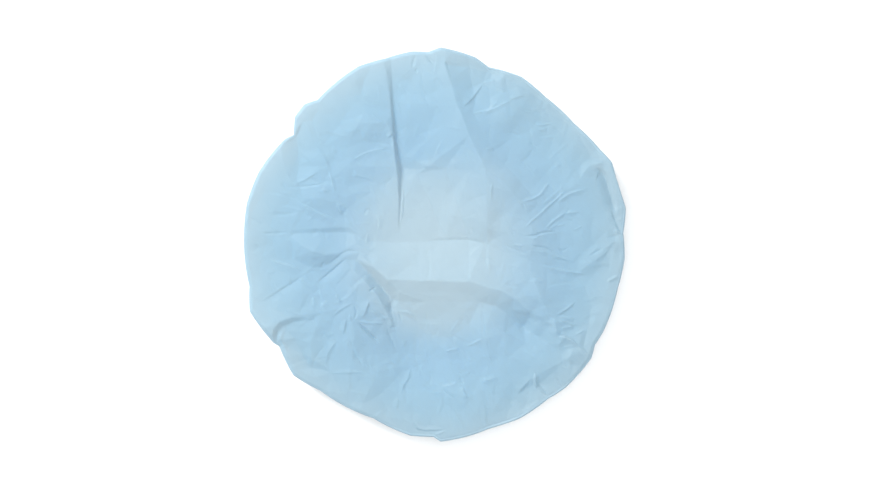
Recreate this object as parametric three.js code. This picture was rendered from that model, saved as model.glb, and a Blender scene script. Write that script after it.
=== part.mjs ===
// A disposable shower cap of thin film, lying crown up on a table as it rests by itself.
// One disc of film makes the crown, turns under at the outer fold and runs back as a gathered skirt.
// The skirt ends in a narrow hem that is folded up round a ring of elastic, and the head goes in there.
// Millimetres, +Z up. The origin is on the table, under the middle of the cap's outline.

import * as THREE from "three";

// ---- Driving sizes -------------------------------------------------------------------------------
const REACH = 162.5; // mean distance from the middle to the outer fold
const OPENING_RADIUS = 73; // the relaxed elastic's ring
const WALL = 1; // film wall
const GAP = 0.3; // between pieces that touch
const COLUMNS = 96; // steps round the film
const ELASTIC_COLUMNS = 48;
const GATHERS = 24; // pleats that the elastic draws in, four columns each
const GATHER_SWING = 1.1; // how far a pleat moves the hem in and out
const PLEAT_RISE = 1.6; // how far a pleat lifts the skirt just outside the hem

const HEM = { height: 7, width: 7 }; // the folded edge of the film, open at its top
const ELASTIC = { height: 4, width: 1.2 };

// The film's middle line from the crown's middle to the hem. out is the share of REACH.
const CROWN_LINE = [
  { out: 0, height: 21.5 },
  { out: 0.12, height: 21.5 },
  { out: 0.22, height: 21.5 },
  { out: 0.32, height: 22 },
  { out: 0.41, height: 23.2 },
  { out: 0.49, height: 24.8 },
  { out: 0.57, height: 26.2 },
  { out: 0.65, height: 27 },
  { out: 0.73, height: 26.8 },
  { out: 0.8, height: 25.2 },
  { out: 0.87, height: 22.4 },
  { out: 0.93, height: 18.6 },
  { out: 0.975, height: 14.6 },
  { out: 0.997, height: 11 },
];
const SKIRT_LINE = [
  { out: 0.985, height: 7.2 },
  { out: 0.94, height: 4.6 },
  { out: 0.85, height: 3.2 },
  { out: 0.73, height: 2.8 },
  { out: 0.6, height: 3.4 },
  { out: 0.52, height: 4.4 },
];
const SKIRT_END_HEIGHT = 4.6;

// The outer fold seen from above: its corners and the hollows between them.
// bearing is in degrees from +X towards +Y, reach in millimetres from the middle.
const OUTLINE = [
  { bearing: 3, reach: 160 },
  { bearing: 11, reach: 165 },
  { bearing: 23, reach: 166 },
  { bearing: 30, reach: 161 },
  { bearing: 41, reach: 157 },
  { bearing: 53, reach: 157 },
  { bearing: 63, reach: 161 },
  { bearing: 73, reach: 158 },
  { bearing: 79, reach: 164 },
  { bearing: 88, reach: 168 },
  { bearing: 92, reach: 164 },
  { bearing: 105, reach: 164 },
  { bearing: 114, reach: 165 },
  { bearing: 129, reach: 158 },
  { bearing: 136, reach: 161 },
  { bearing: 142, reach: 151 },
  { bearing: 146, reach: 156 },
  { bearing: 158, reach: 162 },
  { bearing: 168, reach: 164 },
  { bearing: 180, reach: 163 },
  { bearing: 193, reach: 162 },
  { bearing: 200, reach: 167 },
  { bearing: 212, reach: 158 },
  { bearing: 223, reach: 164 },
  { bearing: 232, reach: 158 },
  { bearing: 250, reach: 158 },
  { bearing: 262, reach: 164 },
  { bearing: 269, reach: 163 },
  { bearing: 272, reach: 168 },
  { bearing: 281, reach: 167 },
  { bearing: 296, reach: 166 },
  { bearing: 306, reach: 163 },
  { bearing: 312, reach: 165 },
  { bearing: 324, reach: 164 },
  { bearing: 329, reach: 160 },
  { bearing: 346, reach: 160 },
  { bearing: 356, reach: 162 },
];

// The crown's main folds. A crest runs from one point to the other, and the film falls away from it
// over its two flanks, left and right of that direction. A negative rise is a valley.
const FOLDS = [
  { name: "apex_crest_outer", from: [4, 160], to: [36, 82], rise: 5, left: 46, right: 34 },
  { name: "apex_crest_inner", from: [36, 88], to: [76, 28], rise: 4.5, left: 38, right: 30 },
  { name: "long_tuck", from: [-39, 150], to: [-30, 12], rise: -4.5, left: 16, right: 9 },
  { name: "middle_band", from: [-48, -26], to: [54, -30], rise: 4.5, left: 32, right: 20 },
  { name: "middle_band_top", from: [-30, 6], to: [46, 3], rise: -2, left: 24, right: 12 },
  { name: "west_valley", from: [-152, 11], to: [-66, 13], rise: -3, left: 20, right: 9 },
  { name: "west_crest", from: [-118, 2], to: [-70, -5], rise: 3, left: 10, right: 14 },
  { name: "south_west_crease", from: [-145, -47], to: [-76, -8], rise: -3, left: 22, right: 12 },
  { name: "pocket", from: [-134, -72], to: [-98, -64], rise: 4, left: 20, right: 8 },
  { name: "north_west_crest", from: [-119, 96], to: [-90, 58], rise: 3.5, left: 14, right: 22 },
  { name: "south_west_drop", from: [-66, -16], to: [-40, -58], rise: -3, left: 14, right: 16 },
  { name: "south_east_crest", from: [82, -32], to: [132, -96], rise: 4, left: 28, right: 18 },
  { name: "south_east_drop", from: [52, -46], to: [82, -68], rise: -3, left: 14, right: 12 },
  { name: "east_loop", from: [130, 64], to: [157, 34], rise: 3.5, left: 9, right: 12 },
  { name: "east_crest", from: [122, -22], to: [154, 10], rise: 3, left: 16, right: 14 },
  { name: "south_tent", from: [66, -122], to: [84, -112], rise: 3, left: 14, right: 12 },
];
const FOLD_END = 16; // a fold fades in and out over this length at its ends

// ---- The film's shape ----------------------------------------------------------------------------
const smooth = THREE.MathUtils.smoothstep;
const clamp = THREE.MathUtils.clamp;
const TURN = 360;

// Distance from the middle to the outer fold at a bearing.
function reachAt(bearing) {
  const turned = THREE.MathUtils.euclideanModulo(bearing, TURN);
  const rows = OUTLINE.length;
  const next = OUTLINE.findIndex((row) => row.bearing > turned);
  const after = OUTLINE[next < 0 ? 0 : next];
  const before = OUTLINE[(next < 0 ? rows : next) - 1] ?? OUTLINE[rows - 1];
  const gap = THREE.MathUtils.euclideanModulo(after.bearing - before.bearing, TURN);
  const along = THREE.MathUtils.euclideanModulo(turned - before.bearing, TURN);
  return THREE.MathUtils.lerp(before.reach, after.reach, along / gap);
}

function foldHeight(fold, x, y) {
  const [x0, y0] = fold.from;
  const [x1, y1] = fold.to;
  const length = Math.hypot(x1 - x0, y1 - y0);
  const [alongX, alongY] = [(x1 - x0) / length, (y1 - y0) / length];
  const along = (x - x0) * alongX + (y - y0) * alongY;
  const across = (y - y0) * alongX - (x - x0) * alongY;
  const flank = across > 0 ? fold.left : fold.right;
  const toNearerEnd = Math.min(along, length - along);
  const kept = smooth(toNearerEnd, -FOLD_END / 2, FOLD_END / 2);
  return fold.rise * kept * clamp(1 - Math.abs(across) / flank, 0, 1);
}

const foldsAt = (x, y) => FOLDS.reduce((sum, fold) => sum + foldHeight(fold, x, y), 0);
const gatherAt = (bearing) => Math.cos(THREE.MathUtils.degToRad(bearing) * GATHERS);

// Closed profile of a wall round a line of stations: out along its underside, then back along its top.
function wallProfile(line, wall) {
  const curve = new THREE.SplineCurve(line);
  const offset = (station, side) => {
    const t = station / (line.length - 1);
    const tangent = curve.getTangent(t);
    const normal = new THREE.Vector2(-tangent.y, tangent.x);
    const point = line[station].clone().addScaledVector(normal, (side * wall) / 2);
    return station === 0 ? point.setX(0) : point;
  };
  const inner = line.map((_, station) => offset(station, -1));
  const outer = line.map((_, station) => offset(station, 1)).reverse();
  return [...inner, ...outer];
}

// Turns a profile into a closed body round Z, then moves each vertex to where lay() puts it.
function layRound(profile, columns, lay) {
  const geometry = new THREE.LatheGeometry(profile, columns);
  geometry.rotateX(Math.PI / 2);
  const position = geometry.getAttribute("position");
  const vertex = new THREE.Vector3();
  for (let i = 0; i < position.count; i += 1) {
    vertex.fromBufferAttribute(position, i);
    const bearing = THREE.MathUtils.radToDeg(Math.atan2(vertex.y, vertex.x));
    const distance = Math.hypot(vertex.x, vertex.y);
    const laid = lay(bearing, distance, vertex.z, i % profile.length);
    const angle = THREE.MathUtils.degToRad(bearing);
    position.setXYZ(i, laid.distance * Math.cos(angle), laid.distance * Math.sin(angle), laid.height);
  }
  geometry.deleteAttribute("normal");
  geometry.deleteAttribute("uv");
  return geometry;
}

function filmShell() {
  const skirtEnd = (OPENING_RADIUS + HEM.width / 2 + GAP) / REACH;
  const rows = [...CROWN_LINE, ...SKIRT_LINE, { out: skirtEnd, height: SKIRT_END_HEIGHT }];
  const line = rows.map((row) => new THREE.Vector2(row.out * REACH, row.height));
  const profile = wallProfile(line, WALL);
  const isCrown = (row) => Math.min(row, profile.length - 1 - row) < CROWN_LINE.length;
  const lay = (bearing, distance, height, row) => {
    const towardsRim = smooth(distance, OPENING_RADIUS, REACH);
    const stretched = distance * (1 + ((reachAt(bearing) - REACH) / REACH) * towardsRim);
    if (isCrown(row)) {
      const angle = THREE.MathUtils.degToRad(bearing);
      const kept = 1 - smooth(distance, 0.9 * REACH, 0.99 * REACH);
      const folded = foldsAt(stretched * Math.cos(angle), stretched * Math.sin(angle));
      return { distance: stretched, height: height + kept * folded };
    }
    const towardsHem = 1 - smooth(distance, OPENING_RADIUS + HEM.width, 0.9 * REACH);
    return {
      distance: stretched + GATHER_SWING * gatherAt(bearing) * towardsHem ** 3,
      height: height + PLEAT_RISE * gatherAt(bearing) * towardsHem * (1 - towardsHem ** 3),
    };
  };
  return layRound(profile, COLUMNS, lay);
}

// The film's edge, folded up on both sides of the elastic. Its underside is flat on the table.
function gatheredHem() {
  const [middle, half] = [OPENING_RADIUS, HEM.width / 2];
  const corner = (offset, height) => new THREE.Vector2(middle + offset, height);
  const profile = [
    corner(-half, 0),
    corner(half, 0),
    corner(half, HEM.height),
    corner(half - WALL, HEM.height),
    corner(half - WALL, WALL),
    corner(WALL - half, WALL),
    corner(WALL - half, HEM.height),
    corner(-half, HEM.height),
    corner(-half, 0),
  ];
  const lay = (bearing, distance, height) => ({
    distance: distance + GATHER_SWING * gatherAt(bearing),
    height,
  });
  return layRound(profile, COLUMNS, lay);
}

function elasticRing() {
  const [inside, outside] = [OPENING_RADIUS - ELASTIC.width / 2, OPENING_RADIUS + ELASTIC.width / 2];
  const bottom = WALL + GAP;
  const top = bottom + ELASTIC.height;
  const profile = [
    new THREE.Vector2(inside, bottom),
    new THREE.Vector2(outside, bottom),
    new THREE.Vector2(outside, top),
    new THREE.Vector2(inside, top),
    new THREE.Vector2(inside, bottom),
  ];
  return layRound(profile, ELASTIC_COLUMNS, (bearing, distance, height) => ({ distance, height }));
}

// ---- Materials and assembly ----------------------------------------------------------------------
const blueFilm = { color: 0xa8d2ea, roughness: 0.5, metalness: 0, side: THREE.DoubleSide };
const MATERIALS = {
  film: new THREE.MeshStandardMaterial(blueFilm),
  hem: new THREE.MeshStandardMaterial({ ...blueFilm, color: 0x9ccae6 }),
  elastic: new THREE.MeshStandardMaterial({ color: 0xf2f4f2, roughness: 0.8, metalness: 0 }),
};

function piece(name, geometry, material) {
  const mesh = new THREE.Mesh(geometry, material);
  mesh.name = name;
  return mesh;
}

const cap = new THREE.Group();
cap.name = "shower_cap";
cap.add(
  piece("film_shell", filmShell(), MATERIALS.film),
  piece("gathered_hem", gatheredHem(), MATERIALS.hem),
  piece("elastic_band", elasticRing(), MATERIALS.elastic),
);

// The outline isn't quite even, so the group is moved to put the origin under the middle of its box.
const box = new THREE.Box3().setFromObject(cap);
const middle = box.getCenter(new THREE.Vector3());
cap.position.set(-middle.x, -middle.y, 0);

export default cap;
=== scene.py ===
"""Looks of a disposable shower cap that lies flat on its gathered opening.

One round film is laid as a low, creased crown that rolls over at the rim and runs back underneath to the
elastic, in ever finer gathers. Sizes in the tables are millimetres in the row frame.
"""
import math

import bpy
import numpy as np
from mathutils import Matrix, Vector
from mathutils.geometry import delaunay_2d_cdt


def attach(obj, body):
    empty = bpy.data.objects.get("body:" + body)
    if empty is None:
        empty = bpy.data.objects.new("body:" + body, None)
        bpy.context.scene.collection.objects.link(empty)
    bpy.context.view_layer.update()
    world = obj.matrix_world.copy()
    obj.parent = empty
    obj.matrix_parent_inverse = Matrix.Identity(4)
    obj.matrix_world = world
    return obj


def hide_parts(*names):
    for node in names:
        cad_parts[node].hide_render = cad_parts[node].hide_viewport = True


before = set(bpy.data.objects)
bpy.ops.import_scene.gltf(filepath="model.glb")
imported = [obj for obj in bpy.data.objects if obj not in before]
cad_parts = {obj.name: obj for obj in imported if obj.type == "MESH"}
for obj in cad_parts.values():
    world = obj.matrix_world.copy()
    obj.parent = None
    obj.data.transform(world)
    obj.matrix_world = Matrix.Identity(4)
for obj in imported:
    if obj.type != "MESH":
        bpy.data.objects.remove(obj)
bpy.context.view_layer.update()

MM = 0.001

# ---- sizes of the cap -------------------------------------------------------------------------
REACH = 162.5          # from the cap's middle to its rim, before its corners and dents
OPENING = 73           # radius of the circle that the elastic lies along, give or take its slack
CENTRE = (0.575, 0.291)   # the cap's middle in the row frame

# ---- how finely its meshes are made -----------------------------------------------------------
CROWN_SHARE = 0.785    # the crown's mesh ends at that share of the way out, and the rim's begins
ROLLED = 0.10          # the rim's ends at that share of the way back in to the hem, and the skirt's begins
CROWN_CUTS = (12, 13)  # Blender cuts an edge at most 100 times at once, so the crown is cut twice
CROWN_ROWS = math.prod(cuts + 1 for cuts in CROWN_CUTS)   # rows of points from the middle to the crown's end
RIM_ROWS = 62          # on from there to the rim
ROLLED_ROWS = 14       # round the rim
SKIRT_ROWS = 66        # and in to the hem
ENDS_MEET = 0.0001     # the two ends of a grid that is rolled into a ring are merged within this, in metres
FIRST_BEARING = math.pi / 6   # a strip starts at one of the crown's six corners

# ---- where the cap lies -----------------------------------------------------------------------
# Bearing in degrees, how far the elastic lies outside its circle there.
SLACK = (
    (12, -2), (33, -2), (50, 1.5), (60, 1), (75, -4), (90, -6), (100, -6), (114, -3), (130, -4), (153, -6),
    (172, -5), (190, -6), (210, -4), (240, 3), (270, 6), (300, 5), (337, 1.5), (352, -1),
)
# Share of the way out to the rim, height of the smooth crown there.
CROWN_LINE = (
    (0.000, 21.5), (0.300, 22.0), (0.450, 22.3), (0.600, 22.4), (0.750, 22.4), (0.860, 22.3), (0.950, 22.0),
    (0.978, 21.7), (0.990, 20.9), (0.997, 18.6), (1.000, 12.5),
)
# Share of the way in from the rim to the hem, height of the film's underside.
SKIRT_LINE = (
    (0.00, 11.5), (0.02, 7.4), (0.06, 4.0), (0.14, 2.0), (0.25, 1.1), (0.60, 0.8), (1.00, 0.8),
)
# Bearing in degrees, reach of the rim: the film's stiff corners and the dents between them.
OUTLINE = (
    (3.3, 158.5), (10.6, 163.2), (15, 162.3), (20, 162.2), (25, 163.9), (30.1, 159.9), (41, 154.9),
    (52.9, 154.9), (62.9, 158.7), (73.4, 155.9), (77.9, 161.1), (88.5, 166.1), (92.2, 162.2),
    (97.3, 163.8), (105, 162.3), (113.5, 163.5), (129.3, 157.3), (133.2, 161.8), (137.8, 160.2),
    (142.4, 151.1), (145.3, 155.2), (157.7, 161.1), (167.7, 162.9), (177.5, 161.9), (192.7, 161),
    (199.9, 166.8), (211.5, 160), (213.1, 157.5), (222.7, 163.3), (231.8, 157.3), (250.3, 156.1),
    (262.6, 162.9), (269.3, 162.6), (271.5, 166.7), (281.1, 163.9), (286, 162.1), (290, 162.3),
    (295.6, 163.3), (305.9, 161.4), (312.1, 163.3), (323.8, 162.8), (327.7, 159), (332.4, 159.5),
    (346.4, 158.1), (355.7, 159.9),
)
LINE_STEPS = 400           # the crown's and the skirt's lines are worked out in this many steps
LINE_EASE = 16             # and their corners eased over as many steps either way
LINE_ENDS = (0.04, 0.12)   # but not at their ends: the easing sets in between these shares from each end

# ---- panels and creases of the crown ----------------------------------------------------------
# Seen from straight above, the crown looks larger than it is by this much, because it is nearer than the
# floor. The tables below hold its places as they look from there.
RAISED = 1.0145
# Where the crown breaks into flat panels: lines of (x, y, lift above the smooth crown), a crest or dip each.
PANEL_LINES = (
    # north: the tuck's two edges, the dips beside it, the ridge that the long panel rises to, and its foot
    ((-39.4, 149, 0.1), (-37.6, 115, 0.9), (-36, 92, 1.2), (-34.8, 80, 1.4), (-33.6, 66, 1.7),
     (-31.8, 50, 1.3), (-31.2, 32, 0.7), (-31.6, 18, 0.0), (-32, 10, -0.8)),
    ((-38, 149, -0.7), (-36.2, 115, -1.9), (-34.6, 92, -2.4), (-32, 79, -2.8), (-29, 66, -2.9),
     (-30, 50, -1.6), (-30, 32, -0.7), (-30.4, 18, -0.8), (-30.9, 10, -0.8)),
    ((-28.5, 77, -1.3), (-18, 71.5, 0.4), (-7, 66, 2.0)),
    ((-28, 63, -2.7), (-18, 63.5, -1.2), (-7, 64.5, 1.4), (8, 65, 2.4)),
    ((-27.5, 58.5, -2.3), (-16, 59.5, -0.7)),
    ((8, 156, 3.8), (13, 138, 6.0), (18, 118, 7.8), (23, 107, 8.6), (28.5, 92, 9.2), (35, 78, 9.7),
     (43, 63, 9.8), (54, 56, 9.0), (63, 47, 8.1), (71, 36, 6.7), (78, 26, 5.3)),
    ((58, 143, -1.0), (47, 134, 0.2), (35, 123, 2.4), (31.5, 113, 4.4), (37, 100, 6.1), (44, 88, 6.3),
     (52, 74, 5.8), (61, 64, 5.6), (70, 55, 4.8), (79, 44, 3.8), (86, 34, 3.2)),
    # north east
    ((56, 128, 0.6), (76, 112, 0.3), (94, 94, 0.0), (108, 76, 0.3)),
    # the middle: the valley, the long crest that crosses it to the south east, and the crest's shaded foot
    ((44, 13, 4.8), (60, 10, 5.0), (72, 11, 4.6)),
    ((-62, 4, 0.2), (-46, 1.5, -0.8), (-12, 2, -1.3), (10, 3, -1.2), (28, 3.5, -0.8), (42, 0.5, 2.1)),
    ((-58, -10, 2.2), (-40, -16, 4.0), (-16, -16, 3.0)),
    ((-65, -8, 2.8), (-53, -20, 4.6), (-41, -30, 5.8), (-10, -31, 6.6), (28, -31.5, 6.6), (42, -36, 6.2),
     (57, -40, 5.6), (66, -46, 5.1), (76, -54, 4.3), (83, -62, 2.9)),
    ((-31, -41, 2.6), (0, -41, 3.2), (28, -41, 3.3)),
    ((-31, -49, -1.2), (-8, -49, 0.9), (24, -49, 1.2), (38, -49, 0.6), (50, -53, 0.2), (60, -58, -0.8),
     (68, -66, -2.7), (75, -71, -3.2)),
    ((88, -79, -0.8), (76, -84, -1.2)),
    ((-24, -62, -3.0), (0, -64, -2.5), (29, -66, -1.7)),
    ((44, -62, 1.8), (42, -80, 1.4), (58, -76, 1.2)),
    # east
    ((82, 6, 4.2), (80, -14, 3.2), (81, -27, 4.8), (88, -43, 6.0), (97, -60, 4.8), (104, -78, 2.8),
     (112, -81, 2.4), (120, -86.5, 1.6), (130, -95, 0.4)),
    ((113, -22, -0.6), (127, -36, -1.2), (133, -52, -0.8), (130, -68, 0.2)),
    ((96, -84, 0.0), (106, -93, 0.0), (120, -103, 0.0)),
    ((60, -98, -0.2), (80, -99, -0.4)),
    ((94, 30, 2.6), (106, 41, 3.2), (120, 51, 2.4), (130, 56, 1.0)),
    # north west: the facet under the notch, the long bright flat beside it, and the dip before the tuck
    ((-132, 84, 1.2), (-130, 72, 1.3), (-126, 58, 0.9)),
    ((-119, 91, -1.2), (-117, 80, -1.6), (-117, 66, -1.3), (-118.5, 56, -0.5)),
    ((-113, 105, 0.8), (-105, 90, 1.7), (-98, 78, 1.9), (-91.5, 66, 1.6), (-87, 52, 0.6)),
    ((-105, 104, 0.2), (-100, 90, 0.8), (-95, 77, 1.4), (-90, 66.5, 1.3)),
    ((-60, 147, 0.8), (-64, 120, 1.8), (-65, 103, 2.6)),
    ((-53, 103, 3.2), (-42, 103, 2.6)),
    ((-63, 87, 0.4), (-50, 86, -0.2), (-39, 85, 0.2)),
    ((-76, 82, 1.6), (-70, 66, 1.4), (-58, 50, 0.8)),
    # west: the lens, the tuck's high and low edge, the crest below it and its shaded foot
    ((-113, 38.5, 1.1), (-98, 38.5, 1.5), (-84, 35.5, 1.4), (-74, 30, 0.8)),
    ((-109, 33, 0.3), (-97, 26.5, -0.2), (-86, 22.5, -0.4), (-76, 22, 0.0)),
    ((-122, 11, 0.2), (-108, 13, 0.5), (-88, 14.3, 0.6), (-74, 14, 0.5), (-63, 7, 0.4)),
    ((-122, 9, -0.2), (-108, 9.6, -0.4), (-88, 10.4, -0.7), (-74, 10.2, -0.4), (-65, 5, 0.4)),
    ((-123, 6, 0.6), (-115, -0.5, 2.6), (-104, -6, 4.1), (-93, -9, 3.8), (-84, -8, 3.2)),
    ((-133, -2, 0.4), (-122, -12, -0.4), (-108, -19, -0.4), (-98, -20.5, -0.2), (-92, -17, 0.6)),
    ((-77, -13, 2.6), (-69, -23, 2.8), (-59, -33, 2.8), (-50, -43, 2.4), (-44, -54, 1.2), (-41, -60, 0.0)),
    ((-67, -13, 1.8), (-57.5, -24, -0.2), (-48, -34, -1.8), (-40, -44, -2.8), (-37.5, -57, -2.4)),
    # south west: the pocket's lip and floor, and the crests that fan out from the opening
    ((-102, -62, 0.5), (-112, -61.3, 1.6), (-123, -62.3, 2.4), (-132, -66, 2.8), (-137.5, -72, 2.6),
     (-138.5, -80, 1.6)),
    ((-103, -64.5, 0.2), (-113, -65, 0.2), (-123, -66.5, 0.1), (-130, -70, -0.2), (-134, -75.5, -0.4),
     (-134.5, -82, -0.3)),
    ((-131, -82, 1.8), (-125, -95, 1.0), (-118, -107, -0.2)),
    ((-120, -80, 0.2), (-114, -93, -0.8), (-107, -105, -1.6)),
    ((-95, -58, 0.7), (-101, -71, 1.2), (-107, -84, 1.2), (-106, -97, 0.5)),
    ((-86, -62, 0.0), (-90, -77, -0.5), (-93, -92, -0.6), (-89, -108, -0.6)),
    ((-76, -53, 0.9), (-70, -65, 1.6), (-70, -82, 1.6), (-71, -99, 0.8)),
    ((-61, -80, 0.0), (-59, -94, -0.8), (-57, -107, -0.7)),
    # south
    ((-34, -75, -3.0), (-8, -76, -4.4), (14, -80, -4.0), (32, -85, -2.0)),
    ((-32, -92, -4.6), (-6, -96, -5.9), (22, -99, -4.6), (46, -98, -0.8)),
    ((-26, -120, -3.4), (-4, -126, -3.4)),
    ((3, -118.5, -3.6), (18, -116, -3.4)),
    ((13, -127.5, -2.0), (26, -131, -1.8)),
    ((40, -124, -2.2), (62, -119, -0.8)),
)
# The panels' outer ends near the rim: bearing in degrees, lift, which they keep between two distances out.
PANEL_RIM = (
    (0, 0), (12, 0), (25, -0.5), (38, -2.5), (50, -3.5), (62, -3.5), (72, -3), (80, -1), (86.6, 2.6),
    (95, 1.1), (103, -0.6), (106, 1.4), (118, 2), (130, 1.6), (142, 1), (155, 0.5), (170, 0), (185, 0),
    (200, 0.5), (215, 0), (228, 0), (240, 0), (252, -1), (264, -2), (276, -2.5), (288, -2.5), (300, -2),
    (312, -1), (325, 0), (340, 0),
)
PANEL_RIM_OUT = (153, 183.6)
FACETS_OUT = 178       # the flats are worked out this far from the middle
LEAN_STEP = 0.9        # the lean of a crease is taken over this distance
LEAN_OUT = 0.975       # and up to this share of the way out, beyond which the film turns over the rim
FACET_EDGE = 0.7       # how far the edges between flats are rounded
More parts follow.
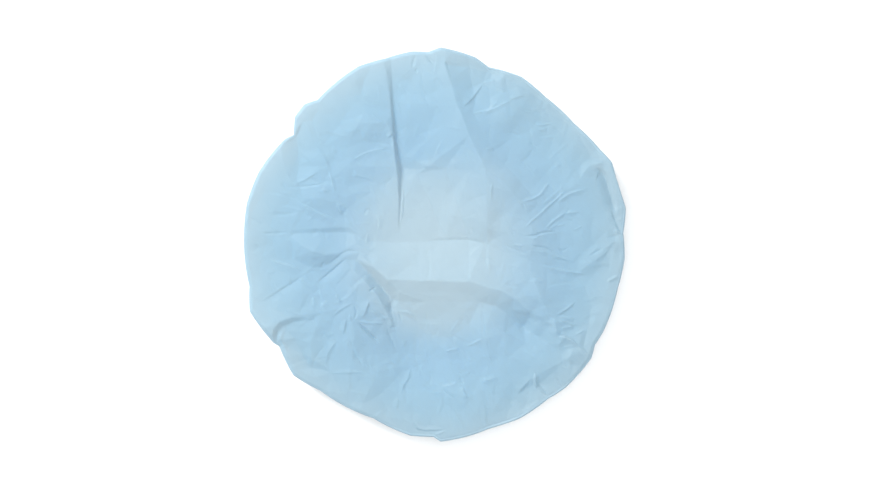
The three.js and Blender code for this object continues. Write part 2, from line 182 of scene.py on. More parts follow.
# Folds that the film sweeps down from, and sharp creases: the run of the crest, its rise (a valley's is
# negative), and the width of the flank on the left and on the right of the run.
SWEEPS = (
    # the east side of the opening
    (((43, 9), (45, 0), (46, -27)), 0.8, 11, 2.6),
    # the crest that falls away to the east
    (((82, -26), (88, -43), (97, -60), (102, -72)), 0.7, 30, 12),
    # the soft rise above the valley in the middle
    (((2, 30), (18, 24), (36, 19), (56, 17)), 2.2, 36, 20),
    # the fold that runs out to the north-east rim
    (((46, 100), (62, 120), (80, 143)), 2.6, 26, 24),
)
CREASES = (
    # north: the ridge and the tuck that bound the panel
    (((-28.5, 52), (-28, 30), (-30.5, 14)), 0.6, 1.7, 1.7),
    (((-42, 90), (-36.5, 94)), 0.65, 4, 1.7),
    (((-10, 162), (-5, 156), (-2, 152)), -0.6, 1.8, 1.7),
    (((-17, 161), (-20, 149)), -0.6, 1.7, 2.4),
    (((-17, 150), (-15.5, 145)), -0.55, 1.7, 1.7),
    (((-12, 148), (-11, 134), (-8, 122), (-4, 112)), -0.35, 5, 3),
    # north east
    (((22.5, 116), (30, 123), (37, 131), (40.5, 137.5)), 1.1, 9, 1.7),
    (((39.5, 137), (46, 138.8), (52, 139.8)), 0.7, 1.7, 4),
    (((51, 132.5), (60, 130.5)), 0.35, 1.7, 2.4),
    (((29, 110), (46, 113.5), (58, 119.5), (67, 124)), 0.65, 1.7, 3.5),
    (((62, 122.5), (70, 125.5), (77, 126)), 0.6, 4, 1.7),
    (((83, 101), (92, 101.8), (101, 103.5)), 0.45, 1.7, 2),
    (((86, 97), (96, 98.5)), 0.4, 1.7, 2),
    (((61, 95.5), (73, 91)), -0.35, 1.7, 3),
    (((79, 87), (88, 80)), -0.35, 3, 3),
    (((41, 80), (50, 81.5)), 0.4, 1.7, 3),
    # the loop at the east rim
    (((122, 55), (128, 64), (136, 69), (148, 69)), 1.3, 5.5, 9),
    (((148, 69), (152, 60), (155, 50), (158, 38), (161, 31)), 0.5, 3, 4),
    (((133, 62), (140, 64), (144, 58), (148, 44), (152, 30), (154, 22)), -2.3, 3.6, 9),
    (((149.5, 29.5), (162, 30)), 0.35, 2, 7),
    (((153, 21.5), (160, 21)), 0.3, 1.7, 2),
    (((149.5, 30), (152, 22), (156, 12), (160, 8)), -0.8, 5, 2),
    # east wrinkles that run in to the opening
    (((72, 35.5), (80, 38), (88, 40)), 0.6, 3, 1.9),
    (((73, 36), (76, 29)), -0.5, 2, 2),
    (((80, 38), (88, 41.5), (92, 47), (98, 54)), 0.6, 1.7, 2.5),
    (((74, 12), (80, 19), (87, 25), (95, 32), (103, 39), (112, 47.5)), 0.62, 1.7, 2.3),
    (((88, 32), (98, 40), (108, 49)), 0.3, 2, 3),
    (((101, 34), (110, 41), (118, 44), (131, 47)), 0.75, 2, 4),
    (((92, 12), (98, 18), (106, 24.5), (113, 28)), 0.6, 1.7, 2.3),
    (((94, 9.5), (100, 14.5), (106, 19)), 0.35, 1.7, 2),
    (((109, 26.5), (123, 27.5)), 0.6, 1.7, 3),
    (((108, 22), (118, 21.5)), 0.3, 1.7, 2),
    (((111, 26), (114, 31)), -0.35, 1.7, 1.7),
    (((73, 7), (84, 7), (91, 10.5), (104, 10)), -0.7, 2, 1.7),
    (((82, 4), (89, 8)), 0.35, 1.7, 2),
    (((65, -0.5), (76, -2)), 0.4, 1.7, 2),
    (((78, -1), (92, -2.5), (100, -7), (106, -10)), -0.55, 1.7, 2.4),
    (((80, -5), (96, -8)), 0.35, 1.7, 4),
    (((94, -8), (106, -11), (119, -15.5)), 0.5, 1.7, 3),
    (((99, -12.5), (113, -14.5)), -0.4, 1.7, 1.7),
    (((89, -18), (97, -19.5), (105, -22), (116, -24), (129, -25)), 0.8, 1.7, 4),
    (((103, -3), (108, -6.5), (113, -2.5)), -0.35, 1.7, 1.7),
    (((102, 14.5), (111, 17.5)), 0.3, 1.7, 1.8),
    (((117, 11), (125, 15.5)), 0.3, 1.7, 1.8),
    (((93, -40), (100, -35), (119, -34)), 0.3, 2, 4),
    # the crest that runs out to the east rim
    (((119, -25), (127, -20), (136, -12), (146, -2), (157, 6)), 1.3, 10, 14),
    (((150, 12.5), (162, 8)), 0.6, 2.5, 4),
    (((130, -10.5), (143, -3)), -0.4, 1.7, 1.7),
    (((134, -15), (147, -5)), 0.25, 1.7, 3),
    (((145, -32.5), (157, -26)), 0.7, 2.4, 2.5),
    # south east
    (((81, -29.5), (93, -30.5)), 0.4, 1.7, 4),
    (((80, -24), (84, -33.5), (89, -43.5), (97.5, -60)), 0.8, 14, 10),
    (((90, -68.5), (99.5, -64.5)), 0.3, 1.7, 3),
    (((99.5, -61), (101.5, -71), (103.5, -80)), 1.4, 12, 6),
    (((70, -73), (78, -66), (81.5, -56)), -1.9, 17, 10),
    (((102, -78), (112, -79), (121, -86)), 1.4, 1.8, 6),
    (((120, -86.5), (127, -91), (133, -97)), 0.5, 2, 4),
    (((107, -88), (113, -86.3), (120, -86.3)), 0.5, 1.7, 2),
    (((119, -86.5), (114, -94), (110, -102)), 1.3, 15, 7),
    (((106, -99), (109, -104), (114, -103)), -0.3, 2, 2),
    (((101.5, -61), (109, -57), (115, -52), (120, -48.5)), 0.65, 2.4, 1.7),
    (((102, -61.8), (109, -62.6), (119, -64)), 0.8, 1.7, 6),
    (((104, -65), (113, -67.5), (120, -69.5)), 0.75, 1.7, 5),
    (((106, -72), (113, -70), (119, -72)), 0.6, 1.7, 4),
    (((106, -75.5), (111, -76.5)), 0.4, 1.7, 1.7),
    (((117.5, -77.5), (127, -73)), 0.5, 1.7, 2),
    (((102, -112), (110, -123)), -0.5, 3, 3),
    # the small tent at the south-east rim
    (((68, -128), (74.5, -121.5), (82, -112.5)), 0.65, 7, 2.6),
    (((84.5, -109), (86, -124)), 1.4, 4, 2),
    (((86.5, -118), (89, -122), (96, -131)), -0.75, 1.7, 1.7),
    (((60, -149), (76, -138), (88, -130)), -0.3, 5, 5),
    # the middle
    (((40, -51), (41, -66), (42, -82)), -0.5, 7, 2),
    (((-8, 3.5), (10, 3.5), (28, 4.5), (42, 1)), -0.35, 2, 3),
    (((41, 1), (35, -4.5), (28, -11)), 0.3, 7, 3),
    (((49, 54), (46.5, 43), (48, 34)), 0.35, 2, 1.7),
    (((-50, 27), (-47.5, 19), (-49, 11)), 0.6, 5, 1.7),
    (((-58, 10), (-59, 0)), 0.4, 2.4, 1.7),
    (((-57, 32), (-61, 24)), -0.35, 2.4, 1.7),
    # west
    (((-153, 9.5), (-138, 8.5), (-122, 10.5)), -0.45, 1.7, 1.7),
    (((-143, -13), (-130, -17), (-112, -24)), 1.0, 1.8, 7),
    (((-150, -50), (-131, -39), (-120, -32), (-110, -24.5)), -0.55, 1.7, 6),
    (((-125, -26), (-124, -37)), 0.35, 1.7, 3),
    (((-119, -28), (-111, -34), (-104, -39)), 0.35, 2, 1.7),
    (((-93, -18.5), (-84, -12), (-79, -7.5), (-72, -5.5), (-65, -7)), -0.65, 1.7, 4),
    (((-102, -33.5), (-92, -26), (-83, -18.5), (-73.5, -10.5)), -0.8, 1.7, 6),
    (((-100, -22), (-94, -14)), -0.45, 1.7, 3),
    (((-119, 37), (-106, 29.5), (-93, 22.5), (-82, 20)), 1.1, 2.2, 6),
    (((-84, 36), (-79.5, 24)), 1.0, 5, 1.7),
    (((-131, 48), (-112, 49), (-98, 50.5), (-91, 54)), -0.45, 1.7, 1.8),
    (((-123, 50), (-113, 53.5), (-106, 58), (-99, 62)), 0.6, 4, 1.7),
    (((-143, 45), (-131, 42.5), (-117, 38.5)), -0.25, 2, 2),
    (((-91, 62), (-87.5, 52), (-85, 43)), 0.7, 3, 1.7),
    (((-97, 47.5), (-91, 44.5)), 0.4, 1.7, 3),
    (((-131, 53), (-128, 47)), -0.4, 2, 2),
    (((-110, 31), (-108, 24)), 0.25, 2, 1.7),
    # north west
    (((-72, 70), (-63, 76), (-54, 79), (-41, 82)), 0.6, 1.7, 5),
    (((-70, 73), (-64, 68)), -0.25, 1.7, 2),
    (((-55, 112), (-49, 106), (-43, 102)), 0.35, 1.7, 3),
    (((-60, 120), (-50, 118.5), (-45, 121)), 0.25, 1.7, 3),
    (((-97.5, 78), (-91, 67)), 0.35, 4, 1.7),
    (((-88, 86), (-86, 70)), 0.2, 3, 1.7),
    # south west
    (((-133.5, -71), (-131, -83)), 0.5, 3, 2),
    (((-43, -31), (-40.5, -42), (-38.5, -54)), 0.2, 3, 3),
    (((-50, -37), (-57.5, -40.5)), -0.7, 2, 1.8),
    (((-56.5, -47), (-59, -55), (-62, -62)), 0.9, 2, 7),
    (((-35, -43), (-36.5, -50), (-39.5, -59)), -0.9, 11, 3),
    (((-88.5, -61.5), (-80, -55), (-73, -50.5), (-69, -49.5)), 0.5, 2.4, 1.7),
    (((-70, -50), (-66.5, -58), (-70, -66)), -0.6, 1.7, 1.7),
    (((-75.5, -62), (-76.5, -69), (-79, -78)), 0.8, 2.2, 5),
    (((-73, -60), (-71.5, -66)), 0.45, 1.7, 3),
    (((-68, -65.5), (-58, -66.5), (-42, -68)), 0.55, 2, 1.8),
    (((-68, -66), (-59, -73), (-47, -86)), -1.4, 1.9, 1.9),
    (((-56, -55), (-48, -60.5), (-41, -67.5)), 0.55, 1.8, 2.4),
    (((-42, -69.5), (-38, -82), (-33, -93)), -0.45, 2.4, 3),
    (((-39.5, -71), (-33, -71)), -0.45, 1.7, 1.7),
    (((-31.5, -56.5), (-28.5, -67)), -0.5, 2, 1.7),
    (((-31, -57), (-22, -57.8), (-15.5, -66)), 0.6, 2, 4),
    (((-48, -63), (-35, -63.5)), 0.35, 1.8, 2.4),
    (((-83, -81), (-88.5, -87), (-92.5, -94), (-92.5, -104)), 0.9, 3, 8),
    (((-73, -79), (-69, -93), (-60, -106)), -0.5, 2.4, 3),
    (((-92, -110), (-74, -109), (-57, -109)), 0.35, 3, 1.7),
    (((-57, -109), (-56, -103), (-62, -98.5)), -0.35, 1.7, 1.7),
    (((-104, -44), (-103, -56)), 0.65, 3, 2.4),
    (((-98, -54), (-91, -48)), 0.4, 3, 4),
    (((-85.5, -42.5), (-81, -50)), 0.6, 2.4, 2),
    # south
    (((7, -92.5), (14, -90), (22, -89.3)), 0.55, 1.7, 2.4),
    (((26, -87.5), (33, -84), (41, -79.5)), 0.5, 1.7, 1.9),
    (((26.5, -96), (30, -101)), 0.35, 2, 1.8),
    (((39, -117.5), (52, -113)), 0.5, 3, 4),
    (((4, -121.8), (13, -120.5), (19, -117)), 0.5, 1.7, 4),
    (((22.5, -121), (23, -126), (27.5, -131)), 0.7, 2.4, 5),
    (((5, -123), (9, -127), (18, -131.5)), -0.5, 2.4, 3),
    (((20, -113), (24, -120)), -0.5, 2.4, 2.4),
    (((-21.5, -104), (-23, -113), (-27, -120), (-30.5, -129)), 0.6, 2, 5),
    (((-32.3, -130), (-33.3, -141)), 0.45, 1.8, 4),
    (((-18.5, -147), (-17, -155), (-12, -158), (-3, -158.3), (9, -158)), 0.8, 4, 1.7),
    (((-2, -163.5), (9, -159)), 0.5, 1.7, 1.7),
)
# How the flanks of each kind lie: hollow (1 is a flat flank), roundness of the crest as a share of the
# narrower flank, and the share of the run, up to a length, over which each end dies away.
SWEEP_FORM = {"hollow": 1.25, "crest": 0.20, "ends": 0.30, "longest": 22}
CREASE_FORM = {"hollow": 1.6, "crest": 0.10, "ends": 0.35, "longest": 14}
FLANK_AT_END = 0.35    # a flank narrows to this share of its width at the ends of its run
FLANKS_PART = 1.6      # how quickly one flank's width gives way to the other's around the end of a run
FOLD_MARGIN = 2        # a fold is worked out this far beyond its wider flank
CREASES_END = (0.98, 1.0)   # all creases die away between these shares of the way out to the rim
# Crumples, flat between sharp edges: size of a facet, height.
CRUMPLES = ((27, 1.1), (12, 0.42), (6, 0.13))
CRUMPLE_SCATTER = 0.45      # how far a facet's corners stray, as a share of its size
SWELL = {"size": 48, "height": 0.7}   # low swells of the whole crown
SWELL_LUMPS = 64       # every soft unevenness is read from a grid of so many random lumps either way
SWELL_START = (31.7, 17.3)   # where on that grid the cap's middle lies
# Wander of every crease: size, sway.
WANDER = ((16, 0.4), (7, 0.25))
# Small creases wherever the film was handled: how many, how far out, length, bend, the share that run in to
# the opening and how far they stray from it, rise, and widths of the wide flank and the narrow one.
STRAYS = {
    "count": 260, "out": 158, "length": (7, 30), "bend": 0.25, "run_in": 0.7, "astray": 0.7,
    "rise": (0.08, 0.32), "wide": (2.5, 7), "narrow": (1.7, 3),
}
# Over the opening the film lies smoother: how far out that is and where it eases off, the share of their
# height that crumples and small creases keep there, and the share of the small creases that are left out.
SMOOTH_MIDDLE = {"within": 60, "eases": (45, 72), "keeps": 0.6, "free": 0.6}

# ---- skirt, hem and elastic -------------------------------------------------------------------
# Gathers: how many around, height at the hem, how soon they start (power of the way in), sway of their run.
GATHERS = (
    (19, 3.0, 0.6, 1.2),
    (43, 5.4, 0.75, 1.0),
    (91, 6.2, 1.0, 0.7),
)
# Waves around the cap that crowd the gathers here and spread them there, and how strong each is, at random.
GATHER_DRIFTS = {"waves": (2, 3, 5, 8, 13), "strength": (0.4, 1)}
PLEAT_TUCK = 0.9       # how far a gather's neck is pinched in at the hem
# A bunch of pleats that stands up under the crown: bearings it spans and the degrees it eases over, height,
# between which distances from the hem it rises and falls, how far its top leans in over the hem, and the
# share by which it calms the gathers.
STANDING = {
    "bearings": (58, 104), "eases": 12, "height": 15, "rises": (0, 4), "falls": (6, 26), "lean": 6,
    "calms": 0.6,
}
# The hem and the elastic in it: section, height of its underside, rows of points, depth of its ruffle.
HEM = {"width": 7.0, "height": 5.5, "low": 0.1, "around": 1116, "across": 20, "ruffle": 1.3}
ELASTIC = {"width": 1.2, "height": 4.0, "low": 1.5, "around": 360, "across": 12, "ruffle": 0.0}
RUFFLE_MIX = (0.2, 0.35, 0.45)   # share of each of the gathers in the hem's ruffle

# First seed of whatever lies at random.
SEEDS = {"wander_x": 1, "strays": 5, "wander_y": 11, "swell": 21, "gathers": 31, "crumples": 41}

# ---- materials, floor and light ---------------------------------------------------------------
SOAKS_THROUGH = 0.5    # share of the light that soaks through the film
SOAKS_AT_RIM = 0.4     # and where it turns over the rim
RIM_TURNS = {"out": (0.97, 0.995), "way_in": (0.0, 0.08)}   # shares of the way between which it turns over
PLEATS_STACK = (0.02, 0.35)     # shares of the way in between which the pleats come to lie on one another
CRINKLE = {"size": 2.4, "depth": 0.05, "strength": 0.35}    # the film's fine crinkle, size and depth
FILM_FACE = "#94B1C1"      # light that the film throws back
FILM_BODY = "#DADCDA"      # light that soaks through it
PLEATED_FACE = "#9CE2FF"   # the same where pleats lie two or three films deep
PLEATED_BODY = "#ADDFFF"
ELASTIC_WHITE = "#E8EEF2"
PAPER_WHITE = "#E9E9E9"
# Floor, lights (name, place, diameter, power) and camera, in metres, with the lens in millimetres.
FLOOR = {"size": 8, "below": 0.0003}
LIGHTS = (
    ("window_side", (-3.4, 3.4, 2.78), 2.4, 440.0),
    ("overhead", (0.4, -0.3, 2.4), 2.4, 34.0),
)
ROOM_LIGHT = 0.90
CAMERA = {"height": 1.643, "lens": 80, "sensor": 36}


def linear(hex_colour):
    """Linear RGBA from an sRGB hex colour."""
    parts = [int(hex_colour[i:i + 2], 16) / 255 for i in (1, 3, 5)]
    return [p / 12.92 if p <= 0.04045 else ((p + 0.055) / 1.055) ** 2.4 for p in parts] + [1.0]


# ---- how the crown lies -----------------------------------------------------------------------
def smooth(x, low, high):
    """Eases from 0 at low to 1 at high."""
    t = np.clip((x - low) / (high - low), 0, 1)
    return t * t * (3 - 2 * t)


def between(row, col, u, v, grid):
    """Value of a grid between four points, u of the way on to the next column and v to the next row."""
    near = grid[row, col] * (1 - u) + grid[row, col + 1] * u
    far = grid[row + 1, col] * (1 - u) + grid[row + 1, col + 1] * u
    return near * (1 - v) + far * v


def swell(x, y, size, seed):
    """Smooth unevenness from -1 to 1 with lumps of about that size."""
    lumps = np.random.default_rng(seed).uniform(-1, 1, (SWELL_LUMPS, SWELL_LUMPS)).T
    u, v = x / size + SWELL_START[0], y / size + SWELL_START[1]
    col, row = np.floor(u).astype(int), np.floor(v).astype(int)
    u, v = smooth(u - col, 0, 1), smooth(v - row, 0, 1)
    return between(row % SWELL_LUMPS, col % SWELL_LUMPS, u, v, np.pad(lumps, (0, 1), mode="wrap"))


def rounded(run):
    """The crest's run with its corners cut twice, so that it bends softly."""
    points = np.array(run, float)
    if len(points) < 3:
        return points
    for _ in range(2):
        cut = np.empty((2 * len(points) - 2, 2))
        cut[0::2] = points[:-1] * 0.75 + points[1:] * 0.25
        cut[1::2] = points[:-1] * 0.25 + points[1:] * 0.75
        points = np.vstack([points[:1], cut[1:-1], points[-1:]])
    return points


def beside(points, px, py):
    """How far each (px, py) is from a run, on which side and how far along it, and the run's length."""
    away, side, along = np.full(len(px), np.inf), np.zeros(len(px)), np.zeros(len(px))
    start = 0.0
    for (x0, y0), (dx, dy) in zip(points[:-1], np.diff(points, axis=0)):
        length = np.hypot(dx, dy)
        ux, uy = dx / length, dy / length
        reach = np.clip((px - x0) * ux + (py - y0) * uy, 0, length)
        d = np.hypot(px - x0 - reach * ux, py - y0 - reach * uy)
        closer = d < away - 1e-9
        turn = (ux * (py - y0) - uy * (px - x0)) / np.maximum(d, 1e-6)
        away, side = np.where(closer, d, away), np.where(closer, turn, side)
        along = np.where(closer, start + reach, along)
        start += length
    return away, side, along, start


def add_fold(z, x, y, run, rise, left, right, hollow, crest, ends, longest):
    """Adds one fold to the heights z: a crest that rises and dies away, with a flank on either side."""
    points = rounded(run)
    margin = max(left, right) + FOLD_MARGIN
    low, high = points.min(0) - margin, points.max(0) + margin
    near = np.flatnonzero((x > low[0]) & (x < high[0]) & (y > low[1]) & (y < high[1]))
    away, side, along, length = beside(points, x[near], y[near])
    fade = min(ends * length, longest)
    kept = smooth(along, 0, fade) * smooth(length - along, 0, fade)
    leftness = 0.5 + 0.5 * np.clip(FLANKS_PART * side, -1, 1)
    flank = (right + (left - right) * leftness) * (FLANK_AT_END + (1 - FLANK_AT_END) * kept)
    soft = crest * min(left, right)
    down = np.sqrt(away ** 2 + soft ** 2) - soft
    z[near] += rise * kept * np.clip(1 - down / flank, 0, 1) ** hollow


def facets(points, joins, x, y):
    """Height over each (x, y) of a film that lies flat between points (x, y, height), with a crease along
    each join and wherever else two flats meet."""
    corners, _, faces, origins, _, _ = delaunay_2d_cdt([Vector(p[:2]) for p in points], joins, [], 0, 0.001)
    heights = [np.mean([points[i][2] for i in origin]) if origin else 0.0 for origin in origins]
    marks = np.arange(-FACETS_OUT, FACETS_OUT, FACET_EDGE)
    grid_x, grid_y = np.meshgrid(marks, marks)
    lie = np.zeros(grid_x.shape)
    for a, b, c in faces:
        (ax, ay), (bx, by), (cx, cy) = corners[a], corners[b], corners[c]
        cols = slice(*np.searchsorted(marks, (min(ax, bx, cx), max(ax, bx, cx) + FACET_EDGE)))
        rows = slice(*np.searchsorted(marks, (min(ay, by, cy), max(ay, by, cy) + FACET_EDGE)))
        px, py = grid_x[rows, cols], grid_y[rows, cols]
        area = (bx - ax) * (cy - ay) - (cx - ax) * (by - ay)
        share_b = ((px - ax) * (cy - ay) - (cx - ax) * (py - ay)) / area
        share_c = ((bx - ax) * (py - ay) - (px - ax) * (by - ay)) / area
        inside = (share_b >= -1e-9) & (share_c >= -1e-9) & (share_b + share_c <= 1 + 1e-9)
        flat = heights[a] + share_b * (heights[b] - heights[a]) + share_c * (heights[c] - heights[a])
        lie[rows, cols] = np.where(inside, flat, lie[rows, cols])
    for axis in (0, 1):   # rounds the edges between the flats
        lie = sum(np.roll(lie, step, axis) * part for step, part in ((-1, 0.25), (0, 0.5), (1, 0.25)))
    u, v = (x + FACETS_OUT) / FACET_EDGE, (y + FACETS_OUT) / FACET_EDGE
    col, row = np.floor(u).astype(int), np.floor(v).astype(int)
    return between(row, col, u - col, v - row, lie)


def panels(x, y):
    """Lift of the crown's large flat panels."""
    points = [point for line in PANEL_LINES for point in line]
    joins, start = [], 0
    for line in PANEL_LINES:
        joins += [(i, i + 1) for i in range(start, start + len(line) - 1)]
        start += len(line)
    for bearing, lift in PANEL_RIM:
        for out in PANEL_RIM_OUT:
            turn = math.radians(bearing)
            points.append((out * math.cos(turn), out * math.sin(turn), lift))
    return facets(points, joins, x, y)


def crumples(x, y, size, height, seed):
    """Lift of small flats of about that size, broken at random."""
    rng = np.random.default_rng(seed)
    marks = np.arange(-FACETS_OUT - 2.0 * size, FACETS_OUT + 2.0 * size, size)
    places = np.stack(np.meshgrid(marks, marks), axis=-1).reshape(-1, 2)
    places += rng.uniform(-CRUMPLE_SCATTER, CRUMPLE_SCATTER, places.shape) * size
    lifts = rng.uniform(-height, height, len(places))
    return facets(np.column_stack([places, lifts]).tolist(), [], x, y)


def stray_creases():
    """Small creases at random, most of them running in towards the gathered opening."""
    rng = np.random.default_rng(SEEDS["strays"])
    rows = []
    while len(rows) < STRAYS["count"]:
        bearing, out = rng.uniform(0, 2 * math.pi), STRAYS["out"] * math.sqrt(rng.uniform(0, 1))
        over_opening = out < SMOOTH_MIDDLE["within"]
        if over_opening and rng.uniform() < SMOOTH_MIDDLE["free"]:
            continue
        length, bend = rng.uniform(*STRAYS["length"]), rng.normal(0, STRAYS["bend"])
        runs_in = rng.uniform() < STRAYS["run_in"]
        turn = bearing + rng.normal(0, STRAYS["astray"]) if runs_in else rng.uniform(0, math.pi)
        x, y = out * math.cos(bearing), out * math.sin(bearing)
        run = (
            (x - math.cos(turn) * length / 2, y - math.sin(turn) * length / 2),
            (x, y),
            (x + math.cos(turn + bend) * length / 2, y + math.sin(turn + bend) * length / 2),
        )
        rise = rng.choice((-1, 1)) * rng.uniform(*STRAYS["rise"])
        rise *= SMOOTH_MIDDLE["keeps"] if over_opening else 1
        flanks = rng.permutation((rng.uniform(*STRAYS["wide"]), rng.uniform(*STRAYS["narrow"])))
        rows.append((run, rise, *flanks))
    return rows


def around_at(rows, bearing):
    """Value of (bearing in degrees, value) rows at a bearing in radians."""
    rows = np.array(rows, float)
    return np.interp(np.degrees(bearing) % 360, rows[:, 0], rows[:, 1], period=360)


def opening_at(bearing):
    return OPENING + around_at(SLACK, bearing)


def line_height(line, share):
    """Height along a line of (share, height) rows, with its corners eased."""
    rows = np.array(line, float)
    fine = np.linspace(0, 1, LINE_STEPS + 1)
    heights = np.interp(fine, rows[:, 0], rows[:, 1])
    window = np.hanning(2 * LINE_EASE + 1) / np.hanning(2 * LINE_EASE + 1).sum()
    eased = np.convolve(np.pad(heights, LINE_EASE, mode="edge"), window, mode="valid")
    edge = smooth(np.minimum(fine, 1 - fine), *LINE_ENDS)
    return np.interp(share, fine, heights + (eased - heights) * edge)


def crown_heights(x, y, share):
    """Height of the crown over each point: the smooth crown with all its creases and crumples."""
    x, y = x * RAISED, y * RAISED
    keeps = SMOOTH_MIDDLE["keeps"]
    handled = keeps + (1 - keeps) * smooth(np.hypot(x, y), *SMOOTH_MIDDLE["eases"])
    sway_x, sway_y = (
        sum(sway * swell(x, y, size, SEEDS[way] + i) for i, (size, sway) in enumerate(WANDER))
        for way in ("wander_x", "wander_y"))
    x_wandered, y_wandered = x + sway_x, y + sway_y
    creased = panels(x_wandered, y_wandered)
    for i, (size, height) in enumerate(CRUMPLES):
        creased += handled * crumples(x_wandered, y_wandered, size, height, SEEDS["crumples"] + i)
    for row in SWEEPS:
        add_fold(creased, x_wandered, y_wandered, *row, **SWEEP_FORM)
    for row in CREASES + tuple(stray_creases()):
        add_fold(creased, x_wandered, y_wandered, *row, **CREASE_FORM)
    creased += SWELL["height"] * swell(x, y, SWELL["size"], SEEDS["swell"])
    return line_height(CROWN_LINE, share) + (1 - smooth(share, *CREASES_END)) * creased


def crown_lean(x, y, share):
    """Which way the creased crown faces over each point."""
    half = LEAN_STEP / 2
    lean = np.column_stack([
        (crown_heights(x - half, y, share) - crown_heights(x + half, y, share)) / LEAN_STEP,
        (crown_heights(x, y - half, share) - crown_heights(x, y + half, share)) / LEAN_STEP,
        np.ones(len(x))])
    return lean / np.linalg.norm(lean, axis=1)[:, None]


# ---- how the film lies from the crown to the hem ----------------------------------------------
def gather_turns(bearing, number):
    """Turns of one of the gather waves around the opening, unevenly spaced as an elastic leaves them."""
    count, _, _, sway = GATHERS[number]
    rng = np.random.default_rng(SEEDS["gathers"] + number)
    turns = count * bearing
    for wave in GATHER_DRIFTS["waves"]:
        strength = rng.uniform(*GATHER_DRIFTS["strength"])
        turns += sway * strength * np.sin(wave * bearing + rng.uniform(0, 2 * math.pi))
    return turns


def standing(bearing, off_hem):
    """Share, from 0 to 1, to which the film stands up in the bunch of pleats."""
    degrees, (low, high) = np.degrees(bearing) % 360, STANDING["bearings"]
    begins = smooth(degrees, low - STANDING["eases"], low)
    ends = smooth(degrees, high, high + STANDING["eases"])
    rises, falls = smooth(off_hem, *STANDING["rises"]), smooth(off_hem, *STANDING["falls"])
    return begins * (1 - ends) * rises * (1 - falls)


def film_place(out, way_in, bearing):
    """Where points of the film lie: out is the share of the way to the rim, way_in of that to the hem."""
    reach = around_at(OUTLINE, bearing)
    corner = smooth(out * REACH, OPENING, REACH) ** 2   # the rim's corners fade out towards the opening
    hem_out = opening_at(bearing) + HEM["width"] / 2
    away = np.where(way_in > 0, reach + (hem_out - reach) * way_in, out * (REACH + (reach - REACH) * corner))
    ripple = np.zeros(len(away))
    for number, (_, height, soon, _) in enumerate(GATHERS):
        turns = gather_turns(bearing, number)
        grown = way_in ** soon
        ripple += height * grown * (0.5 - 0.5 * np.cos(turns))
    tuck = PLEAT_TUCK * grown * np.sin(2 * turns)   # of the last and finest gathers
    stands = standing(bearing, away - hem_out)
    below = line_height(SKIRT_LINE, way_in) + ripple * (1 - STANDING["calms"] * stands)
    below += STANDING["height"] * stands
    above = crown_heights(away * np.cos(bearing), away * np.sin(bearing), out)
    z = np.where(way_in > 0, below, above)
    away = away - STANDING["lean"] * stands * (way_in > 0)
    spin = bearing + tuck / np.maximum(away, 1)
    return MM * np.column_stack([away * np.cos(spin) + CENTRE[0], away * np.sin(spin) + CENTRE[1], z])


# ---- meshes -----------------------------------------------------------------------------------
def points_of(piece):
    points = np.empty(3 * len(piece.data.vertices))
    piece.data.vertices.foreach_get("co", points)
    return points.reshape(-1, 3)


def set_points(piece, points):
    piece.data.vertices.foreach_set("co", np.ascontiguousarray(points).ravel())
    piece.data.update()


def mark_points(piece, name, values):
    piece.data.attributes.new(name, "FLOAT", "POINT").data.foreach_set("value", values)


def shade_smooth(piece):
    for polygon in piece.data.polygons:
        polygon.use_smooth = True


def mark_film(piece, stacked, thinned):
    """Marks, point by point, how far the film lies in stacked pleats and how much light soaks through it."""
    mark_points(piece, "pleated", stacked)
    mark_points(piece, "soaks_through", SOAKS_THROUGH + (SOAKS_AT_RIM - SOAKS_THROUGH) * thinned)


def lay_film(piece, out, way_in, bearing):
    """Lays a mesh of the film in its place, shaded by the true lean of its creases, which the lean of faces
    averaged around a point would blur."""
    points = film_place(out, way_in, bearing)
    set_points(piece, points)
    shade_smooth(piece)
    at_rim = smooth(out, *RIM_TURNS["out"]) * (1 - smooth(way_in, *RIM_TURNS["way_in"]))
    mark_film(piece, smooth(way_in, *PLEATS_STACK), at_rim)
    top = np.flatnonzero((out < LEAN_OUT) & (way_in == 0))
    lean = np.zeros((len(points), 3))   # zero leaves a point the lean of its faces
    lean[top] = crown_lean(points[top, 0] / MM - CENTRE[0], points[top, 1] / MM - CENTRE[1], out[top])
    piece.data.normals_split_custom_set_from_vertices(lean)


def edit_all(operator, **settings):
    """Runs a mesh operator on the whole of the new piece."""
    bpy.ops.object.mode_set(mode="EDIT")
    bpy.ops.mesh.select_all(action="SELECT")
    operator(**settings)
    bpy.ops.object.mode_set(mode="OBJECT")


def flat_grid(name, around, across):
    """A new flat grid, and for each of its points the share of the way along it and across it."""
    bpy.ops.mesh.primitive_grid_add(x_subdivisions=around, y_subdivisions=across, size=1)
    grid = bpy.context.object
    grid.name = grid.data.name = name
    return grid, *(points_of(grid)[:, :2].T + 0.5)


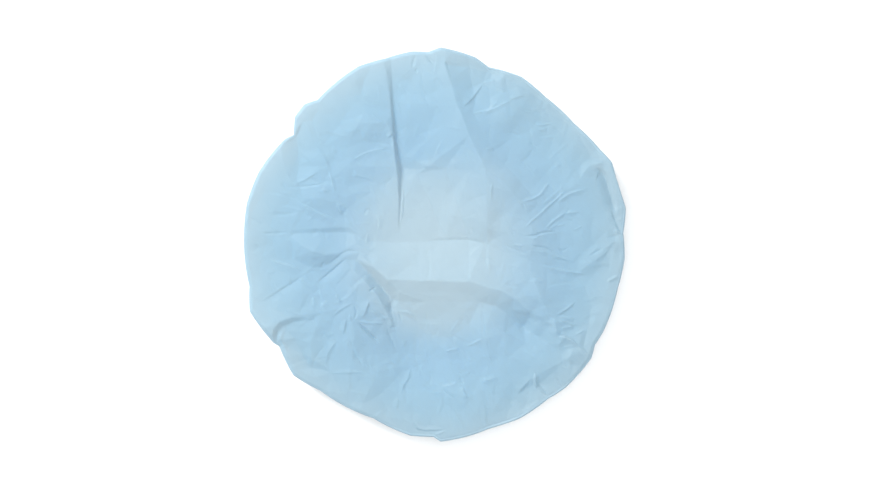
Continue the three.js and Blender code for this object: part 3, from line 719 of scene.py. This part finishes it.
def film_disc():
    """The crown: a six-sided fan, subdivided until its points lie 0.7 mm apart, and rounded to a disc. A
    point's shares of the two corners of its sixth of the fan give its row and its bearing."""
    bpy.ops.mesh.primitive_circle_add(vertices=6, radius=1, fill_type="TRIFAN")
    crown = bpy.context.object
    crown.name = crown.data.name = "cap_crown"
    for cuts in CROWN_CUTS:
        edit_all(bpy.ops.mesh.subdivide, number_cuts=cuts)
    x, y, _ = points_of(crown).T
    sixth = math.pi / 3
    start = np.floor(np.arctan2(y, x) / sixth + 0.5 + 1e-7) * sixth - sixth / 2
    corner_a = np.array([np.cos(start), np.sin(start)])
    corner_b = np.array([np.cos(start + sixth), np.sin(start + sixth)])
    share_a = (x * corner_b[1] - y * corner_b[0]) / math.sin(sixth)
    share_b = (corner_a[0] * y - corner_a[1] * x) / math.sin(sixth)
    total = share_a + share_b
    bearing = start + sixth * share_b / np.maximum(total, 1e-9)
    lay_film(crown, CROWN_SHARE * np.round(total * CROWN_ROWS) / CROWN_ROWS, np.zeros(len(total)), bearing)
    return crown


def film_strip(name, outs, ways_in):
    """A strip of the film as a long grid, its two ends merged into a ring, then laid row by row. Merging
    drops points, so each carries its row and bearing with it."""
    rows = len(outs) - 1
    strip, along, across = flat_grid(name, 6 * CROWN_ROWS, rows)
    bearing = FIRST_BEARING - along * 2 * math.pi   # clockwise, so that its faces look outward
    row = across * rows
    for key, values in (("row", row), ("bearing", bearing)):
        mark_points(strip, key, values)
    set_points(strip, np.column_stack([(1 + row) * np.cos(bearing), (1 + row) * np.sin(bearing), 0 * row]))
    edit_all(bpy.ops.mesh.remove_doubles, threshold=ENDS_MEET)
    for key, values in (("row", row), ("bearing", bearing)):
        values.resize(len(strip.data.vertices), refcheck=False)
        strip.data.attributes[key].data.foreach_get("value", values)
        strip.data.attributes.remove(strip.data.attributes[key])
    row = np.round(row).astype(int)
    lay_film(strip, outs[row], ways_in[row], bearing)
    return strip


def ring_of(name, width, height, low, around, across, ruffle):
    """A soft ring on the opening's line: a grid rolled up, its ends merged, ruffled as the skirt gathers."""
    ring, along, across = flat_grid(name, around, across)
    bearing, section = along * 2 * math.pi, across * 2 * math.pi
    away, up = OPENING + 0.5 * np.cos(section), 0.5 * np.sin(section)
    set_points(ring, MM * np.column_stack([away * np.cos(bearing), away * np.sin(bearing), up]))
    edit_all(bpy.ops.mesh.remove_doubles, threshold=ENDS_MEET)
    x, y, up = points_of(ring).T / MM
    bearing = np.arctan2(y, x)
    wave = sum(share * np.cos(gather_turns(bearing, number)) for number, share in enumerate(RUFFLE_MIX))
    away = opening_at(bearing) + (np.hypot(x, y) - OPENING) * width + ruffle * wave * 0.5
    z = low + height * (up + 0.5) + ruffle * (0.5 - 0.5 * wave)
    x, y = away * np.cos(bearing) + CENTRE[0], away * np.sin(bearing) + CENTRE[1]
    set_points(ring, MM * np.column_stack([x, y, z]))
    shade_smooth(ring)
    return ring


# ---- materials --------------------------------------------------------------------------------
def add_node(tree, kind, sockets, **settings):
    """Adds a node with its settings, and gives each socket, by name or number, a value or a link."""
    node = tree.nodes.new(kind)
    for key, value in settings.items():
        setattr(node, key, value)
    for key, value in sockets.items():
        if isinstance(value, bpy.types.NodeSocket):
            tree.links.new(value, node.inputs[key])
        else:
            node.inputs[key].default_value = value
    return node


def new_material(name):
    material = bpy.data.materials.new(name)
    material.use_nodes = True
    material.node_tree.nodes.clear()
    return material, material.node_tree


def blown_film():
    """Pale blue polyethylene film, blown very thin and soft. It has a satin face with a fine crinkle, and
    about half of the light soaks through it, so that one layer over the floor shows paler than two."""
    material, tree = new_material("blown_polyethylene_film")
    place = add_node(tree, "ShaderNodeTexCoord", {}).outputs["Object"]
    pleated = add_node(tree, "ShaderNodeAttribute", {}, attribute_name="pleated").outputs["Fac"]
    soaks = add_node(tree, "ShaderNodeAttribute", {}, attribute_name="soaks_through").outputs["Fac"]
    crinkle = add_node(tree, "ShaderNodeTexNoise", {
        "Vector": place, "Scale": 1 / (CRINKLE["size"] * MM), "Detail": 3.0, "Roughness": 0.55})
    bump = add_node(tree, "ShaderNodeBump", {
        "Strength": CRINKLE["strength"], "Distance": CRINKLE["depth"] * MM,
        "Height": crinkle.outputs["Fac"]})
    face, body = (
        add_node(tree, "ShaderNodeMix", {"Factor": pleated, "A": linear(single), "B": linear(stacked)},
                 data_type="RGBA")
        for single, stacked in ((FILM_FACE, PLEATED_FACE), (FILM_BODY, PLEATED_BODY)))
    skin = add_node(tree, "ShaderNodeBsdfPrincipled", {
        "Base Color": face.outputs["Result"], "Roughness": 0.5, "IOR": 1.45,
        "Normal": bump.outputs["Normal"]})
    through = add_node(tree, "ShaderNodeBsdfTranslucent", {
        "Color": body.outputs["Result"], "Normal": bump.outputs["Normal"]})
    mixed = add_node(tree, "ShaderNodeMixShader", {
        0: soaks, 1: skin.outputs["BSDF"], 2: through.outputs["BSDF"]})
    add_node(tree, "ShaderNodeOutputMaterial", {"Surface": mixed.outputs["Shader"]})
    return material


def plain(name, colour, roughness):
    """A matt material of one colour."""
    material, tree = new_material(name)
    skin = add_node(tree, "ShaderNodeBsdfPrincipled", {"Base Color": linear(colour), "Roughness": roughness})
    add_node(tree, "ShaderNodeOutputMaterial", {"Surface": skin.outputs["BSDF"]})
    return material


def finished(piece, material, node):
    piece.data.materials.clear()
    piece.data.materials.append(material)
    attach(piece, "root")
    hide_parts(node)


# ---- the cap ----------------------------------------------------------------------------------
bpy.ops.object.select_all(action="DESELECT")
film_material = blown_film()
crown = film_disc()
finished(crown, film_material, "film_shell")
rim = film_strip(
    "cap_rim",
    np.concatenate([np.linspace(CROWN_SHARE, 1, RIM_ROWS + 1), np.ones(ROLLED_ROWS)]),
    np.concatenate([np.zeros(RIM_ROWS), np.linspace(0, ROLLED, ROLLED_ROWS + 1)]))
finished(rim, film_material, "film_shell")
skirt = film_strip("cap_skirt", np.ones(SKIRT_ROWS + 1), np.linspace(ROLLED, 1, SKIRT_ROWS + 1))
finished(skirt, film_material, "film_shell")

hem = ring_of("cap_hem", **HEM)   # film in stacked pleats all round
mark_film(hem, np.ones(len(hem.data.vertices)), np.zeros(len(hem.data.vertices)))
finished(hem, film_material, "gathered_hem")

# Elastic woven from rubber thread and white yarn: the yarn makes it matt.
elastic = ring_of("cap_elastic", **ELASTIC)
finished(elastic, plain("woven_elastic", ELASTIC_WHITE, 0.6), "elastic_band")

# ---- floor, light and camera ------------------------------------------------------------------
# Uncoated white paper: its loose fibres make it fully matt, so that no light glints off it.
bpy.ops.mesh.primitive_plane_add(size=FLOOR["size"], location=(0, 0, -FLOOR["below"]))
floor = bpy.context.object
floor.name = "paper_floor"
floor.data.materials.append(plain("matt_white_paper", PAPER_WHITE, 0.9))

for name, place, size, power in LIGHTS:
    bpy.ops.object.light_add(type="AREA", location=place)
    lamp = bpy.context.object
    lamp.name = name
    lamp.data.shape = "DISK"
    lamp.data.size = size
    lamp.data.energy = power
    lamp.rotation_euler = (-Vector(place)).to_track_quat("-Z", "Y").to_euler()   # at the cap

world = bpy.data.worlds.new("soft_room")
bpy.context.scene.world = world
world.use_nodes = True
world.node_tree.nodes["Background"].inputs["Color"].default_value = (1, 1, 1, 1)
world.node_tree.nodes["Background"].inputs["Strength"].default_value = ROOM_LIGHT
bpy.context.scene.view_settings.view_transform = "Standard"

bpy.ops.object.camera_add(location=(0, 0, CAMERA["height"]), rotation=(0, 0, 0))
camera = bpy.context.object
camera.data.lens = CAMERA["lens"]
camera.data.sensor_width = CAMERA["sensor"]
bpy.context.scene.camera = camera
